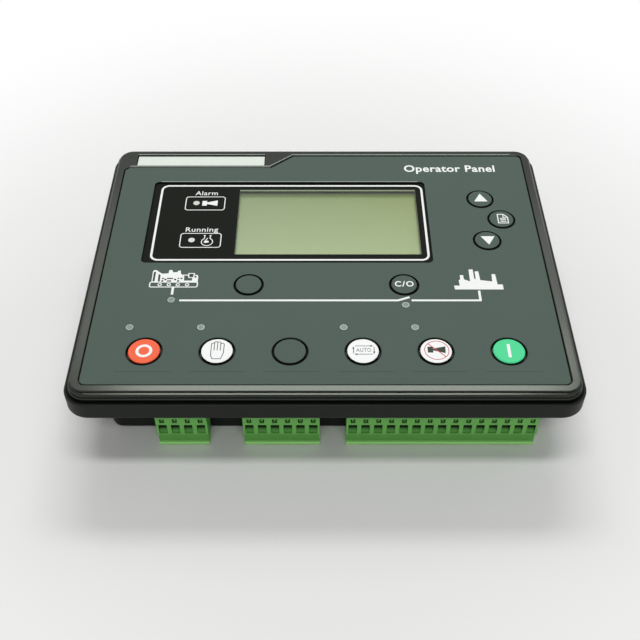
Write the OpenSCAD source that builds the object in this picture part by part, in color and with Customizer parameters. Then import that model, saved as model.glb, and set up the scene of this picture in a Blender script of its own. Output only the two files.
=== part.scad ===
// Panel-mount generator controller lying on its back: rear face at z = 0, front face up.
// x runs along the width and y towards the top edge. All sizes are in millimetres.

/* [Case] */
// Width over the flange
case_w = 197; // [193:1:204]
// Height over the flange
case_h = 151; // [149:1:156]
// Depth from the rear face to the front of the bezel
case_d = 44; // [42:0.5:50]
// Height of the front ahead of the face that seats on the panel
front_h = 13.5; // [12.5:0.1:15]
// Case wall thickness
wall_t = 2.2; // [1.8:0.1:2.4]
// Rear floor thickness
floor_t = 2.2; // [1.8:0.1:3]
// Flange plate thickness
flange_t = 2.8; // [2.4:0.1:3]
// Gasket thickness
gasket_t = 1; // [0.8:0.1:1.4]
// How far the flange covers the panel at each side of its cutout
flange_lap_x = 5.5; // [4.5:0.25:7]
// How far the flange covers the panel above and below its cutout
flange_lap_y = 5; // [4.5:0.25:7]
// Room for a fixing clip at each side of the rear body
clip_room = 5; // [4:0.5:6]
// Room for the terminals above and below the rear body, inside the cutout
terminal_room = 14.5; // [13:0.5:16]
// Corner radius of the rear body
body_r = 5; // [3:0.5:6]
// Length of a clip slot
slot_w = 14; // [10:1:18]
// Height of a clip slot
slot_h = 3; // [2:0.5:3.5]

/* [Bezel] */
// Distance from the face panel to the flange edge
bezel_margin = 6.5; // [6.25:0.25:7.5]
// Width of the flat front band
band_w = 3.05; // [2.6:0.05:3.4]
// Drop from the band to the ledge around it
band_step = 1; // [0.6:0.1:1.4]
// Fall of the ledge to its outer edge
ledge_fall = 0.25; // [0:0.05:0.4]
// How far the bead at the foot of the bezel wall stands out
bead_out = 0.4; // [0.2:0.1:0.6]
// Height of the bead
bead_h = 1.1; // [0.8:0.1:1.5]
// How far the flange rim stands out past the bezel wall
rim_proud = 2.1; // [1.9:0.1:2.2]
// Height of the bezel from its lower edge to the front band
bezel_h = 4.6; // [4.2:0.1:5]
// Small edge radius of the mouldings
edge_r = 0.35; // [0.2:0.05:0.45]
// Width of the shelf that carries the face panel
shelf_w = 3.5; // [2.5:0.1:4]

/* [Face panel] */
// Face panel thickness
panel_t = 1.7; // [1.5:0.1:2]
// How far the face panel lies below the band
panel_recess = 0.3; // [0.2:0.1:0.5]
// Corner radius of the face panel
panel_r = 2.5; // [2:0.5:4]
// Gap between the face panel and the bezel
fit_gap = 0.4; // [0.15:0.05:0.5]
// Height of the strip at the top left corner
strip_h = 8.8; // [8.2:0.2:10]
// Length of the strip
strip_w = 67.5; // [66:0.5:72]
// Run of the sloping end of the strip
strip_run = 10.5; // [6:0.5:12]
// Corner cut off the panel at the strip's left end
strip_cut = 2; // [0.5:0.1:3]
// Width of the plate in the strip
plate_w = 59; // [50:0.5:60]
// Height of the plate in the strip
plate_h = 7.1; // [6:0.1:7.3]
// Thickness of the plate in the strip
plate_t = 0.6; // [0.4:0.1:1]
// Gap around the plate
plate_gap = 0.35; // [0.15:0.05:0.5]
// How far the plate lies below the band
plate_sink = 0.6; // [0.2:0.1:1]

/* [Keys] */
// Diameter of the six keys of the lower row
big_key_d = 12.3; // [11:0.1:13.5]
// Diameter of the other keys
small_key_d = 10.8; // [9:0.1:11.2]
// Distance of the end keys of the lower row from the sides of the face panel
row_in = 22; // [20:0.5:26]
// Offset of the lower row to the right
row_shift = 0.6; // [0:0.1:1]
// Height of the lower row above the lower edge of the face panel
row_up = 16.4; // [16.2:0.1:18]
// Gap around a key cap
key_gap = 0.75; // [0.5:0.05:0.9]
// How far a key stands above the face panel
key_proud = 0.3; // [0:0.1:0.3]
// Travel of a key
key_travel = 0.6; // [0.3:0.1:0.8]
// Thickness of the collar that holds a key in
collar_t = 1.2; // [0.8:0.1:1.4]
// Diameter of an indicator lamp
lamp_d = 3.2; // [2.4:0.1:3.6]

/* [Display] */
// Width of the dark display area
mask_w = 122.4; // [118:0.2:124]
// Height of the dark display area
mask_h = 53.1; // [48:0.1:54]
// How far the display area lies below the face panel
mask_drop = 0.8; // [0.5:0.1:0.9]
// Width of the display window
window_w = 79.2; // [70:0.2:81]
// Height of the display window
window_h = 42.7; // [36:0.1:44]
// Thickness of the clear pane behind the window
pane_t = 1; // [0.8:0.1:1.2]
// Thickness of the display glass
glass_t = 1.8; // [1.2:0.1:2]

/* [Terminals] */
// Pitch of the terminal poles
pole_pitch = 5.08; // [5, 5.08]
// Pitch of the voltage terminal poles
volt_pitch = 7.62; // [7.5, 7.62]
// Poles of the supply plug
supply_poles = 4; // [2:1:6]
// Poles of the output plug
output_poles = 6; // [3:1:7]
// Poles of the input plug
input_poles = 15; // [8:1:16]
// Poles of the sensor plug
sensor_poles = 8; // [4:1:9]
// Poles of the current plug
current_poles = 4; // [2:1:5]
// Poles of the voltage plug
volt_poles = 4; // [2:1:5]
// Height of the plugs above the rear face
plug_z = 0.6; // [0.4:0.1:1.5]
// Height of a plug from its screw side to its far side
plug_h = 18.3; // [17.5:0.1:19]
// Reach of a plug from the socket to its wire face
plug_reach = 8.6; // [8.2:0.1:9.4]
// Width of a wire entry
wire_w = 3.4; // [2.8:0.1:3.6]
// Height of a wire entry
wire_h = 5.6; // [5:0.1:5.9]
// Diameter of a terminal screw
screw_d = 3.4; // [2.8:0.1:3.6]
// Diameter of a socket pin
pin_d = 1; // [0.8:0.05:1.1]
// Depth of a plug in its socket
tongue_l = 8; // [7.5:0.1:8.4]

/* [Hidden] */
$fn = 64;

// A cut runs this far past the face that it opens, and a joined piece runs this far into the other
cut = 0.2;
bite = 0.4;
// Clearance of pieces that slide or drop in
slip = 0.15;
// Thin gap under a part that only rests
rest_gap = 0.1;

// Heights, counted from the rear face
z_seat = case_d - front_h;
z_flange = z_seat + gasket_t;
z_tray = z_flange + flange_t;
board_t = 1.6;
z_keys_board = z_tray + board_t;
z_front = case_d;
z_panel = z_front - panel_recess;
z_panel_under = z_panel - panel_t;
z_pane_under = z_panel_under - pane_t;
z_bezel_low = z_front - bezel_h;
rim_gap = 0.2;
z_rim = z_bezel_low - rim_gap;
shelf_t = 1.8;
z_shelf_under = z_panel_under - shelf_t;

// Outlines
panel_w = case_w - 2 * bezel_margin;
panel_h = case_h - 2 * bezel_margin;
pocket_w = panel_w + 2 * fit_gap;
pocket_h = panel_h + 2 * fit_gap;
pocket_r = panel_r + fit_gap;
case_r = panel_r + bezel_margin;
tray_w = case_w - 2 * wall_t;
tray_h = case_h - 2 * wall_t;
tray_r = case_r - wall_t;
cutout_w = case_w - 2 * flange_lap_x;
cutout_h = case_h - 2 * flange_lap_y;
body_w = cutout_w - 2 * clip_room;
body_h = cutout_h - 2 * terminal_room;
room_w = body_w - 2 * wall_t;
room_h = body_h - 2 * wall_t;
room_r = body_r - wall_t;
wall_off = bezel_margin - rim_proud - fit_gap;
ledge_r = min(edge_r, (wall_off - band_w) / 2);
rim_fall = 1;
skirt_gap = 0.2;
skirt_t = 1.6;
skirt_foot = 0.3;

// Plate in the strip
plate_in = 5.1;
plate_up = 1.75;
plate_x = plate_in + (plate_w - panel_w) / 2;
plate_y = panel_h / 2 - strip_h + plate_up + plate_h / 2;
z_plate = z_front - plate_sink;
bevel = 0.5;

// Screw bosses between the bezel and the flange
boss_r = 3.4;
boss_in_x = 6.5;
boss_in_y = 7;
boss_x = panel_w / 2 - boss_in_x;
boss_y = panel_h / 2 - boss_in_y;
thread_r = 1.25;
thread_fit = 0.05;
head_r = 2.6;
head_t = 1.3;
head_fit = 0.3;

// Boards and their screws
key_board_in_x = 5.5;
key_board_in_y = 4;
key_board_w = panel_w - 2 * key_board_in_x;
key_board_h = panel_h - 2 * key_board_in_y;
key_screw_x = 60;
key_screw_in = 7.2;
key_screw_y = panel_h / 2 - key_screw_in;
z_plug = plug_z + plug_h;
board_over = 0.5;
board_z = z_plug + board_over;
z_board = board_z + board_t;
board_edge = 0.6;
main_w = room_w - 2 * board_edge;
main_h = room_h - 2 * board_edge;
main_r = room_r - board_edge;
post_r = 3.4;
post_in_x = 11;
post_in_y = 17.8;
post_x = room_w / 2 - post_in_x;
post_y = room_h / 2 - post_in_y;
post_depth = 7;
link_w = 42;
link_d = 6;
link_y = -30;

// Key places
row_keys = 6;
row_y = row_up - panel_h / 2;
row_pitch = (panel_w - 2 * row_in) / (row_keys - 1);
mid_x = 31.8;
mid_y = -16.5;
mid_shift = 0.7;
nav_in = 22.3;
nav_x = panel_w / 2 - nav_in;
nav_out = 7.8;
nav_y = 24;
nav_dy = 13.7;
function row_x(i) = (i - (row_keys - 1) / 2) * row_pitch + row_shift;
key_places = [
    [row_x(0), row_y, big_key_d],
    [row_x(1), row_y, big_key_d],
    [row_x(2), row_y, big_key_d],
    [row_x(3), row_y, big_key_d],
    [row_x(4), row_y, big_key_d],
    [row_x(5), row_y, big_key_d],
    [mid_shift - mid_x, mid_y, small_key_d],
    [mid_shift + mid_x, mid_y, small_key_d],
    [nav_x, nav_y + nav_dy, small_key_d],
    [nav_x + nav_out, nav_y, small_key_d],
    [nav_x, nav_y - nav_dy, small_key_d]
];
collar_lap = 0.75;
z_collar = z_panel_under - rest_gap;
z_key_under = z_collar - collar_t;
z_dome = z_key_under - key_travel - rest_gap;
mat_t = 0.9;
z_mat = z_keys_board + mat_t;
dome_foot_r = 6;
dome_top_r = 3.6;
dome_skin = 1.1;
pill_r = 2;
pill_t = 0.5;
mat_in = 1;
mat_w = key_board_w - 2 * mat_in;
mat_h = 2 * (dome_foot_r - row_y + bite);

// Lamp places: four by the lower row, two on the mimic line, two in the display area
lamp_dx = 7.2;
lamp_dy = 12.5;
supply_lamp_x = -61.9;
supply_lamp_y = -25.1;
change_lamp_x = 32.5;
change_lamp_y = -27.9;
panel_lamps = [
    [row_x(0) - lamp_dx, row_y + lamp_dy],
    [row_x(1) - lamp_dx, row_y + lamp_dy],
    [row_x(3) - lamp_dx, row_y + lamp_dy],
    [row_x(4) - lamp_dx, row_y + lamp_dy],
    [supply_lamp_x, supply_lamp_y],
    [change_lamp_x, change_lamp_y]
];
window_x = 1.5;
window_y = 23.9;
mask_side = 4.4;
mask_x = window_x + (window_w - mask_w) / 2 + mask_side;
mask_y = 23.35;
mask_r = 2;
mask_gap = 0.2;
mask_t = panel_t - mask_drop;
z_mask = z_panel_under + mask_t;
mask_lamp_in = 19.8;
mask_lamp_x = mask_x - mask_w / 2 + mask_lamp_in;
mask_lamp_up = 12.6;
mask_lamp_down = 11.9;
mask_lamps = [[mask_lamp_x, mask_y + mask_lamp_up], [mask_lamp_x, mask_y - mask_lamp_down]];
mask_lamp_less = 0.4;
mask_lamp_d = lamp_d - mask_lamp_less;
chip_t = 0.8;
chip_w = 2;
chip_d = 1.4;
lamp_head = 0.05;
lamp_flare = 0.5;

// Display stack
pane_lap = 2;
lcd_lip_t = 0.8;
lcd_border = 2.8;
lcd_wall = 3.6;
z_glass = z_pane_under - lcd_lip_t;
z_light = z_glass - glass_t;
lcd_w = window_w + 2 * lcd_border;
lcd_h = window_h + 2 * lcd_border;
lcd_out_w = lcd_w + 2 * lcd_wall;
lcd_out_h = lcd_h + 2 * lcd_wall;

// Terminal rows. The lower row is set from the right wall, the upper row from the left.
socket_lap = 0.5;
socket_wall = 0.85;
socket_h = 8.5;
socket_edge = 0.5;
socket_back = 3.2;
mouth_out = 1;
mouth_y = body_h / 2 + mouth_out;
function row_w(n, p) = n * p;
supply_w = row_w(supply_poles, pole_pitch);
output_w = row_w(output_poles, pole_pitch);
input_w = row_w(input_poles, pole_pitch);
sensor_w = row_w(sensor_poles, pole_pitch);
current_w = row_w(current_poles, pole_pitch);
volt_w = row_w(volt_poles, volt_pitch);
// The free length of an edge is shared out between the ends and the gaps
edge_half = room_w / 2 - socket_edge - socket_lap;
lower_free = 2 * edge_half - supply_w - output_w - input_w;
upper_free = 2 * edge_half - sensor_w - current_w - volt_w;
input_x = edge_half - input_w / 2;
output_x = input_x - input_w / 2 - lower_free / 4 - output_w / 2;
supply_x = output_x - output_w / 2 - lower_free / 3 - supply_w / 2;
sensor_x = upper_free / 3 + sensor_w / 2 - edge_half;
current_x = sensor_x + sensor_w / 2 + upper_free / 6 + current_w / 2;
volt_x = current_x + current_w / 2 + upper_free / 6 + volt_w / 2;
// Poles, pitch, middle of the row, and -1 for the lower edge or 1 for the upper edge
supply = [supply_poles, pole_pitch, supply_x, -1];
outputs = [output_poles, pole_pitch, output_x, -1];
inputs = [input_poles, pole_pitch, input_x, -1];
sensor = [sensor_poles, pole_pitch, sensor_x, 1];
current = [current_poles, pole_pitch, current_x, 1];
voltage = [volt_poles, volt_pitch, volt_x, 1];
rows = [supply, outputs, inputs, sensor, current, voltage];

// Plug section, counted outwards from the socket mouth
z_socket = board_z - socket_h;
pin_z = board_z - socket_h / 2;
tongue_h = socket_h - 2 * socket_wall - 2 * slip;
plug_back = 0.15;
nib_top = 1.1;
nib_w = 1.9;
nib_h = 2.5;
nib_deep = 1.5;
pip_w = 0.9;
pip_h = 1.2;
pip_short = 0.4;
wire_top = 4.8;
wire_bore = 2.5;
wire_end = 1.6;
funnel_in = 3;
block_rim = 0.6;
z_block = z_plug - wire_top - wire_h - block_rim;
chin_back = 1.2;
lip_h = 0.7;
lip_slope = 1;
lip_out = 0.9;
screw_out = 4.1;
screw_sink = 1.4;
screw_fit = 0.1;
screw_len = 4.6;
screw_slot = 0.7;
cell_w = 2.6;
contact_w = 2.4;
cell_end = 0.6;
pin_fit = 0.25;
pin_end = 1.8;
pin_rear = 4.6;
pin_proud = 1;
pin_hole = 0.1;

// Slots for the fixing clips, in the side walls of the rear body
slot_y = 30;
slot_down = 3;
slot_z = z_seat - slot_down - slot_h;

module rounded(w, h, r) {
    square([w - 2 * r, h], center = true);
    square([w, h - 2 * r], center = true);
    for (x = [-1, 1])
        for (y = [-1, 1])
            translate([x * (w / 2 - r), y * (h / 2 - r)])
                circle(r);
}

module slab(w, h, r, low, high) {
    translate([0, 0, low])
        linear_extrude(high - low)
            rounded(w, h, r);
}

module block(w, d, low, high) {
    translate([-w / 2, -d / 2, low])
        cube([w, d, high - low]);
}

module post(r, low, high) {
    translate([0, 0, low])
        cylinder(r = r, h = high - low);
}

// Carries a section around a rounded rectangle: section x points outwards, section y is the height
module around(w, h, r) {
    for (q = [[1, 1, 0], [-1, 1, 90], [-1, -1, 180], [1, -1, 270]])
        translate([q[0] * (w / 2 - r), q[1] * (h / 2 - r), 0])
            rotate([0, 0, q[2]])
                rotate_extrude(angle = 90)
                    translate([r, 0])
                        children();
    for (turn = [0, 180])
        rotate([0, 0, turn]) {
            translate([w / 2, h / 2 - r, 0])
                rotate([90, 0, 0])
                    linear_extrude(h - 2 * r)
                        children();
            translate([r - w / 2, h / 2, 0])
                rotate([90, 0, 90])
                    linear_extrude(w - 2 * r)
                        children();
        }
}

module four(x, y) {
    for (i = [-1, 1])
        for (j = [-1, 1])
            translate([i * x, j * y, 0])
                children();
}

// Strip at the top left corner, grown by g on the sides that face the panel
module strip(g) {
    low = panel_h / 2 - strip_h - g;
    high = pocket_h / 2 + edge_r + bite;
    left = -pocket_w / 2 - edge_r - bite;
    right = strip_w - panel_w / 2 + g;
    slope = strip_run / strip_h;
    corner = strip_cut - panel_w / 2 + (sqrt(2) - 1) * g;
    polygon([
        [left, low - (corner - left)],
        [corner, low],
        [right, low],
        [right + slope * (high - low), high],
        [left, high]
    ]);
}

// Waste that bevels the lower and the sloping edge of the strip
module strip_bevel() {
    lean = atan(strip_h / strip_run);
    for (edge = [[180, strip_w - strip_cut], [lean, strip_h / sin(lean)]])
        translate([strip_w - panel_w / 2 - fit_gap, panel_h / 2 - strip_h + fit_gap, z_front])
            rotate([0, 0, edge[0]])
                rotate([45, 0, 0])
                    translate([0, -bevel / 2, -bevel / 2])
                        cube([edge[1], bevel, bevel]);
}

// Local frame of one terminal row: x along the row, y outwards from the socket mouth
module at_row(row) {
    translate([row[2], row[3] * mouth_y, 0])
        rotate([0, 0, row[3] > 0 ? 0 : 180])
            children();
}

module each_pole(row) {
    for (i = [0 : row[0] - 1])
        translate([(i - (row[0] - 1) / 2) * row[1], 0, 0])
            children();
}

// A section in the y and z plane, w wide along x
module across(w) {
    translate([-w / 2, 0, 0])
        rotate([90, 0, 90])
            linear_extrude(w)
                children();
}

module rim_section() {
    polygon([
        [0, z_flange],
        [wall_t - 2 * edge_r, z_flange],
        [wall_t - edge_r * 0.6, z_flange + edge_r * 0.6],
        [wall_t, z_flange + 2 * edge_r],
        [wall_t, z_rim - edge_r],
        [wall_t - edge_r * 0.3, z_rim - edge_r * 0.3],
        [wall_t - edge_r, z_rim],
        [wall_t - 2 * edge_r, z_rim],
        [0, z_rim - rim_fall]
    ]);
}

module body_section() {
    r = 3 * edge_r;
    polygon([
        [0, 0],
        [wall_t - r, 0],
        [wall_t - r * 0.5, r * 0.134],
        [wall_t - r * 0.134, r * 0.5],
        [wall_t, r],
        [wall_t, z_flange + bite],
        [0, z_flange + bite]
    ]);
}

// Front band, sloping ledge, wall and the bead at its foot
module bezel_section() {
    ledge = z_front - band_step;
    low_ledge = ledge - ledge_fall;
    bead = z_bezel_low + bead_h;
    e = edge_r;
    polygon([
        [0, z_bezel_low],
        [0, z_front - e * 0.6],
        [e * 0.6, z_front],
        [band_w - e, z_front],
        [band_w - e * 0.5, z_front - e * 0.134],
        [band_w - e * 0.134, z_front - e * 0.5],
        [band_w, z_front - e],
        [band_w, ledge],
        [wall_off - ledge_r, low_ledge],
        [wall_off - ledge_r * 0.5, low_ledge - ledge_r * 0.134],
        [wall_off - ledge_r * 0.134, low_ledge - ledge_r * 0.5],
        [wall_off, low_ledge - ledge_r],
        [wall_off, bead + bead_out],
        [wall_off + bead_out * 0.3, bead + bead_out * 0.4],
        [wall_off + bead_out, bead],
        [wall_off + bead_out, z_bezel_low + bead_out / 2],
        [wall_off + bead_out / 2, z_bezel_low]
    ]);
}

// Waste outside a rounded upper edge, with the body on the left
module edge_waste(r, top) {
    polygon([
        [-r, top],
        [-r * 0.5, top - r * 0.134],
        [-r * 0.134, top - r * 0.5],
        [0, top - r],
        [cut, top - r],
        [cut, top + cut],
        [-r, top + cut]
    ]);
}

module rear_case() {
    color([0.13, 0.14, 0.13])
        difference() {
            union() {
                around(tray_w, tray_h, tray_r)
                    rim_section();
                slab(tray_w + 2 * bite, tray_h + 2 * bite, tray_r + bite, z_flange, z_tray);
                around(room_w, room_h, room_r)
                    body_section();
                slab(room_w + 2 * bite, room_h + 2 * bite, room_r + bite, 0, floor_t);
                four(post_x, post_y)
                    post(post_r, floor_t - bite, board_z);
            }
            slab(room_w, room_h, room_r, z_flange - cut, z_tray + cut);
            for (row = rows)
                at_row(row)
                    translate([0, -wall_t, 0])
                        block(row_w(row[0], row[1]) + 2 * (socket_lap + slip), 2 * (wall_t + mouth_out),
                            z_socket - slip, board_z + slip);
            four(boss_x, boss_y) {
                post(thread_r + head_fit, z_flange - cut, z_tray + cut);
                post(head_r + head_fit, z_flange - cut, z_flange + head_t);
            }
            four(key_screw_x, key_screw_y)
                post(thread_r + thread_fit, z_flange + head_t / 2, z_tray + cut);
            four(post_x, post_y)
                post(thread_r + thread_fit, board_z - post_depth, board_z + cut);
            four(body_w / 2 - wall_t / 2, slot_y)
                block(wall_t + 2 * cut, slot_w, slot_z, slot_z + slot_h);
        }
}

module panel_gasket() {
    inset = 1;
    color([0.07, 0.07, 0.07])
        difference() {
            slab(case_w - 2 * inset, case_h - 2 * inset, case_r - inset, z_seat, z_flange);
            slab(cutout_w + inset, cutout_h + inset, panel_r, z_seat - cut, z_flange + cut);
        }
}

module front_bezel() {
    skirt_w = tray_w - 2 * skirt_gap;
    skirt_h = tray_h - 2 * skirt_gap;
    skirt_r = tray_r - skirt_gap;
    color([0.16, 0.17, 0.16])
        difference() {
            union() {
                around(pocket_w, pocket_h, pocket_r)
                    bezel_section();
                difference() {
                    slab(pocket_w + 2 * bite, pocket_h + 2 * bite, pocket_r + bite,
                        z_shelf_under, z_panel_under);
                    slab(pocket_w - 2 * shelf_w, pocket_h - 2 * shelf_w, panel_r,
                        z_shelf_under - cut, z_panel_under + cut);
                }
                difference() {
                    slab(skirt_w, skirt_h, skirt_r, z_tray + skirt_foot, z_bezel_low + bite);
                    slab(skirt_w - 2 * skirt_t, skirt_h - 2 * skirt_t, skirt_r - skirt_t,
                        z_tray, z_bezel_low + 2 * bite);
                }
                translate([0, 0, z_shelf_under])
                    linear_extrude(z_front - z_shelf_under)
                        strip(-fit_gap);
                four(boss_x, boss_y)
                    post(boss_r, z_tray, z_panel_under);
                for (i = [-1, 1])
                    for (j = [-1, 1])
                        translate([i * (boss_x + pocket_w / 2) / 2, j * (boss_y + pocket_h / 2) / 2, 0])
                            block(pocket_w / 2 - boss_x + 2 * bite, pocket_h / 2 - boss_y + 2 * bite,
                                z_shelf_under, z_panel_under);
            }
            four(boss_x, boss_y)
                post(thread_r + thread_fit, z_tray - cut, z_shelf_under);
            translate([plate_x, plate_y, 0])
                block(plate_w + 2 * plate_gap, plate_h + 2 * plate_gap, z_plate - plate_t, z_front + cut);
            strip_bevel();
        }
}

// Printed face with rounded edges, outside and at the display
module face_panel() {
    color([0.29, 0.35, 0.32])
        difference() {
            slab(panel_w, panel_h, panel_r, z_panel_under, z_panel);
            translate([0, 0, z_panel_under - cut])
                linear_extrude(panel_t + 2 * cut)
                    strip(0);
            for (k = key_places)
                translate([k[0], k[1], 0])
                    post(k[2] / 2 + key_gap, z_panel_under - cut, z_panel + cut);
            for (p = panel_lamps)
                translate([p[0], p[1], 0])
                    post(lamp_d / 2 + slip, z_panel_under - cut, z_panel + cut);
            around(panel_w, panel_h, panel_r)
                edge_waste(edge_r, z_panel);
            translate([mask_x, mask_y, 0]) {
                slab(mask_w, mask_h, mask_r, z_panel_under - cut, z_panel + cut);
                around(mask_w, mask_h, mask_r)
                    mirror([1, 0])
                        edge_waste(edge_r, z_panel);
            }
        }
}

module name_plate() {
    color([0.87, 0.9, 0.86])
        translate([plate_x, plate_y, 0])
            block(plate_w, plate_h, z_plate - plate_t, z_plate);
}

module display_mask() {
    color([0.14, 0.15, 0.14])
        difference() {
            translate([mask_x, mask_y, 0])
                slab(mask_w - 2 * mask_gap, mask_h - 2 * mask_gap, mask_r - mask_gap, z_panel_under, z_mask);
            translate([window_x, window_y, 0])
                block(window_w, window_h, z_panel_under - cut, z_mask + cut);
            for (p = mask_lamps)
                translate([p[0], p[1], 0])
                    post(mask_lamp_d / 2 + slip, z_panel_under - cut, z_mask + cut);
        }
}

module display_window() {
    color([0.9, 0.94, 0.94, 0.3])
        difference() {
            translate([mask_x, mask_y, 0])
                slab(mask_w + 2 * pane_lap, mask_h + 2 * pane_lap, mask_r + pane_lap,
                    z_pane_under, z_panel_under);
            for (p = mask_lamps)
                translate([p[0], p[1], 0])
                    post(mask_lamp_d / 2 + slip, z_pane_under - cut, z_panel_under + cut);
        }
}

module lcd_frame() {
    color([0.1, 0.1, 0.1])
        translate([window_x, window_y, 0])
            difference() {
                block(lcd_out_w, lcd_out_h, z_keys_board, z_pane_under);
                block(window_w, window_h, z_glass - cut, z_pane_under + cut);
                block(lcd_w + 2 * slip, lcd_h + 2 * slip, z_keys_board - cut, z_glass);
            }
}

module lcd_glass() {
    color([0.63, 0.7, 0.53])
        translate([window_x, window_y, 0])
            block(lcd_w, lcd_h, z_light, z_glass);
}

module lcd_backlight() {
    color([0.9, 0.9, 0.88])
        translate([window_x, window_y, 0])
            block(lcd_w, lcd_h, z_keys_board, z_light);
}

// Light guide: a straight rod with a wider foot over its lamp chip
module light_guide(p, d, top) {
    foot = z_keys_board + chip_t + rest_gap;
    translate([p[0], p[1], 0]) {
        post(d / 2, foot, top + lamp_head);
        post(d / 2 + lamp_flare, foot, z_pane_under - rest_gap - lamp_flare);
    }
}

module indicator_lamps() {
    color([0.53, 0.58, 0.55]) {
        for (p = panel_lamps)
            light_guide(p, lamp_d, z_panel);
        for (p = mask_lamps)
            light_guide(p, mask_lamp_d, z_mask);
    }
}

module lamp_chips() {
    color([0.92, 0.9, 0.8])
        for (p = concat(panel_lamps, mask_lamps))
            translate([p[0], p[1], 0])
                block(chip_w, chip_d, z_keys_board, z_keys_board + chip_t);
}

// Key cap with the collar that holds it behind the face panel
module key_cap(k) {
    r = k[2] / 2;
    collar = r + key_gap + collar_lap;
    top = z_panel + key_proud;
    e = edge_r;
    translate([k[0], k[1], 0])
        rotate_extrude()
            polygon([
                [0, z_key_under],
                [collar, z_key_under],
                [collar, z_collar],
                [r, z_collar],
                [r, top - e],
                [r - e * 0.3, top - e * 0.3],
                [r - e, top],
                [0, top]
            ]);
}

module key_stop() {
    color([0.9, 0.25, 0.16])
        key_cap(key_places[0]);
}

module key_manual() {
    color([0.95, 0.96, 0.95])
        key_cap(key_places[1]);
}

module key_spare() {
    color([0.29, 0.35, 0.32])
        key_cap(key_places[2]);
}

module key_auto() {
    color([0.95, 0.96, 0.95])
        key_cap(key_places[3]);
}

module key_mute() {
    color([0.95, 0.96, 0.95])
        key_cap(key_places[4]);
}

module key_start() {
    color([0.15, 0.65, 0.4])
        key_cap(key_places[5]);
}

module key_open() {
    color([0.29, 0.35, 0.32])
        key_cap(key_places[6]);
}

module key_close() {
    color([0.29, 0.35, 0.32])
        key_cap(key_places[7]);
}

module key_up() {
    color([0.29, 0.35, 0.32])
        key_cap(key_places[8]);
}

module key_page() {
    color([0.29, 0.35, 0.32])
        key_cap(key_places[9]);
}

module key_down() {
    color([0.29, 0.35, 0.32])
        key_cap(key_places[10]);
}

module dome(foot_r, top_r, low, high) {
    translate([0, 0, low])
        cylinder(r1 = foot_r, r2 = top_r, h = high - low);
}

// Rubber mat with one return dome under each key
module keypad_mat() {
    color([0.75, 0.75, 0.73])
        difference() {
            union() {
                slab(mat_w, mat_h, panel_r, z_keys_board, z_mat);
                for (k = key_places)
                    translate([k[0], k[1], 0])
                        dome(dome_foot_r, dome_top_r, z_mat - cut, z_dome);
            }
            for (k = key_places)
                translate([k[0], k[1], 0])
                    dome(dome_foot_r - dome_skin, dome_top_r - dome_skin / 2,
                        z_keys_board - cut, z_dome - dome_skin);
            translate([window_x, window_y, 0])
                block(lcd_out_w + 2 * slip, lcd_out_h + 2 * slip, z_keys_board - cut, z_mat + cut);
            for (p = concat(panel_lamps, mask_lamps))
                translate([p[0], p[1], 0])
                    post(lamp_d / 2 + lamp_flare + slip, z_keys_board - cut, z_mat + cut);
            four(boss_x, boss_y)
                post(boss_r + bite, z_keys_board - cut, z_mat + cut);
            four(key_screw_x, key_screw_y)
                post(head_r + bite, z_keys_board - cut, z_mat + cut);
        }
}

// Conductive pill in the roof of each dome
module contact_pills() {
    color([0.2, 0.2, 0.2])
        for (k = key_places)
            translate([k[0], k[1], 0])
                post(pill_r, z_dome - dome_skin - pill_t, z_dome - dome_skin);
}

module key_board() {
    color([0.1, 0.35, 0.2])
        difference() {
            slab(key_board_w, key_board_h, panel_r, z_tray, z_keys_board);
            four(boss_x, boss_y)
                post(boss_r + bite, z_tray - cut, z_keys_board + cut);
            four(key_screw_x, key_screw_y)
                post(thread_r + head_fit, z_tray - cut, z_keys_board + cut);
        }
}

module main_board() {
    color([0.1, 0.35, 0.2])
        difference() {
            slab(main_w, main_h, main_r, board_z, z_board);
            four(post_x, post_y)
                post(thread_r + head_fit, board_z - cut, z_board + cut);
            for (row = rows)
                at_row(row)
                    each_pole(row)
                        translate([0, -tongue_l - pin_rear, 0])
                            post(pin_d / 2 + pin_hole, board_z - cut, z_board + cut);
        }
}

// Stacking connector between the two boards
module board_link() {
    color([0.12, 0.12, 0.12])
        translate([0, link_y, 0])
            block(link_w, link_d, z_board, z_tray);
}

module board_screws() {
    color([0.75, 0.75, 0.75]) {
        four(key_screw_x, key_screw_y) {
            post(thread_r, z_flange + head_t / 2 + rest_gap, z_keys_board + cut);
            post(head_r, z_keys_board, z_keys_board + head_t);
        }
        four(post_x, post_y) {
            post(thread_r, board_z - post_depth + rest_gap, z_board + cut);
            post(head_r, z_board, z_board + head_t);
        }
    }
}

module case_screws() {
    color([0.75, 0.75, 0.75])
        four(boss_x, boss_y)
            difference() {
                union() {
                    post(head_r, z_flange + rest_gap, z_flange + head_t);
                    post(thread_r, z_flange + head_t - cut, z_shelf_under - rest_gap);
                }
                for (turn = [0, 90])
                    rotate([0, 0, turn])
                        block(head_r * 1.2, screw_slot, z_flange, z_flange + head_t / 2);
            }
}

// Right-angle pins: one leg along the plug, one leg through the main board
module socket_pins() {
    color([0.8, 0.78, 0.7])
        for (row = rows)
            at_row(row)
                each_pole(row) {
                    translate([0, -pin_end, pin_z])
                        rotate([90, 0, 0])
                            cylinder(d = pin_d, h = tongue_l + pin_rear - pin_end);
                    translate([0, -tongue_l - pin_rear, 0])
                        post(pin_d / 2, pin_z, z_board + pin_proud);
                    translate([0, -tongue_l - pin_rear, pin_z])
                        sphere(d = pin_d);
                }
}

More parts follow.
